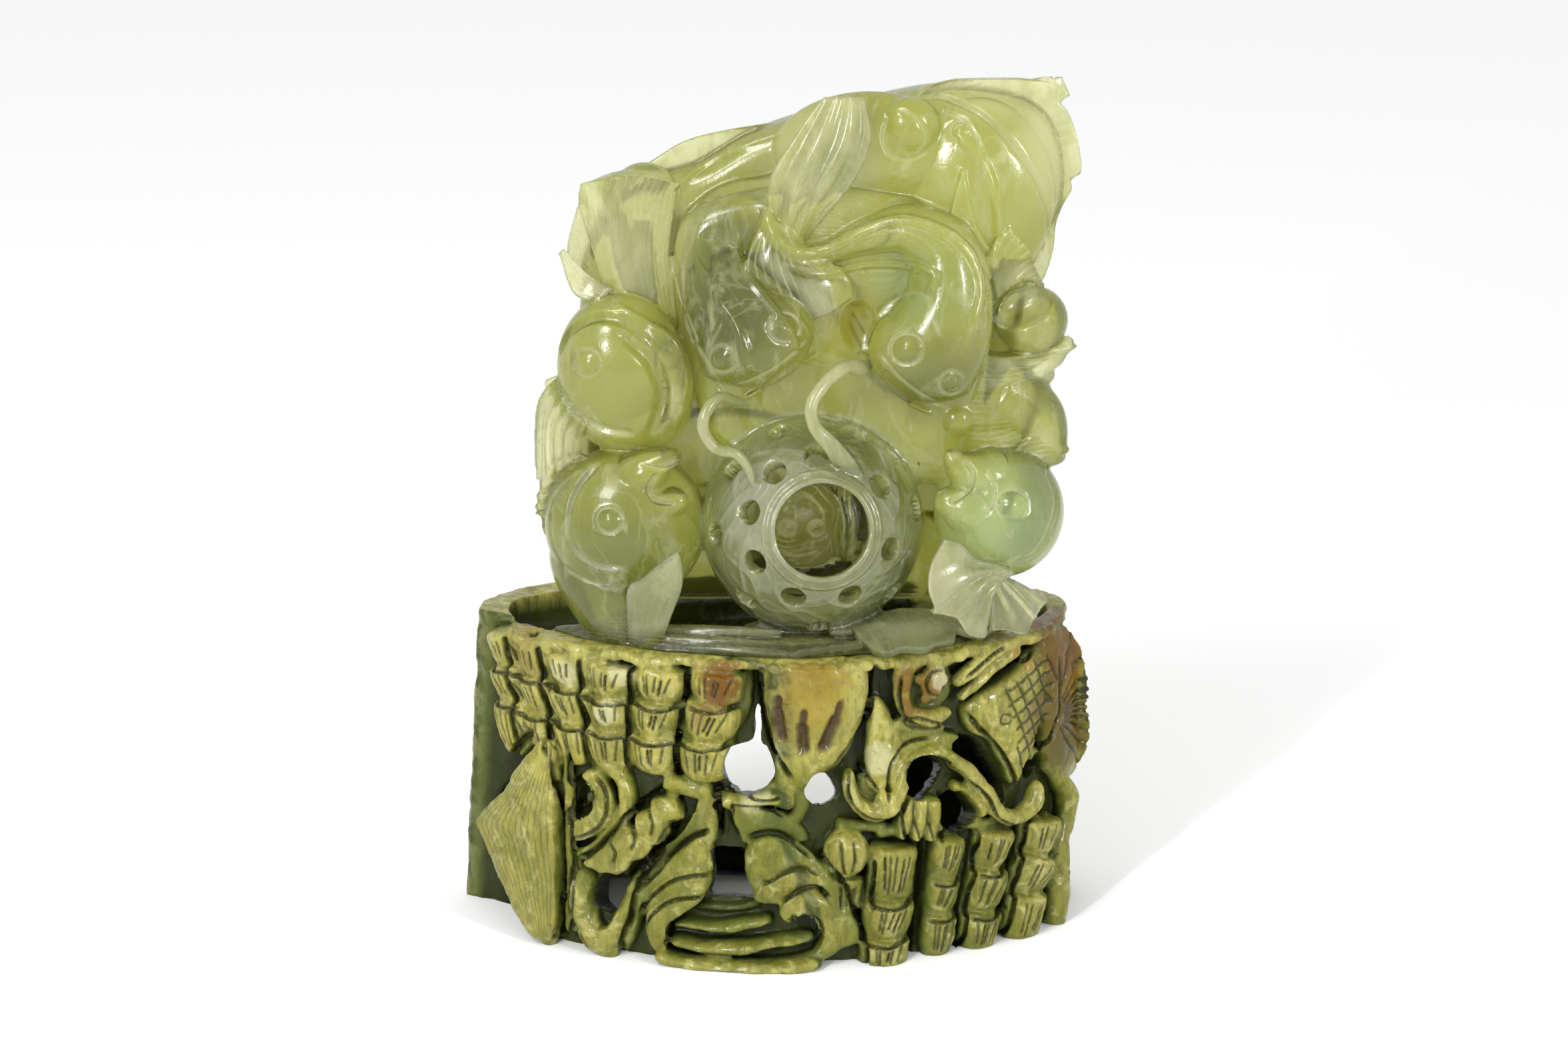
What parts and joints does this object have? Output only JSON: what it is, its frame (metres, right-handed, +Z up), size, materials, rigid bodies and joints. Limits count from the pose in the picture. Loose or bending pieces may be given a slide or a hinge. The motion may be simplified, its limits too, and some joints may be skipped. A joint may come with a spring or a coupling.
{
  "type": "hardstone fish carving",
  "caption": "Carved hardstone group of goldfish playing round a pierced hollow ball, standing in the seat of its own openwork carved stone stand.",
  "frame": {"origin": "middle of the stand's underside, where it meets the table", "axes": "+Z up, +X to the viewer's right, +Y to the back; the ball's window faces -Y"},
  "size_m": [0.1837, 0.0926, 0.2466],
  "materials": {
    "pale_serpentine": "polished, translucent",
    "olive_serpentine": "waxed"
  },
  "bodies": {
    "root": {"fish_carving": "pale_serpentine", "stand": "olive_serpentine"}
  },
  "joints": []
}
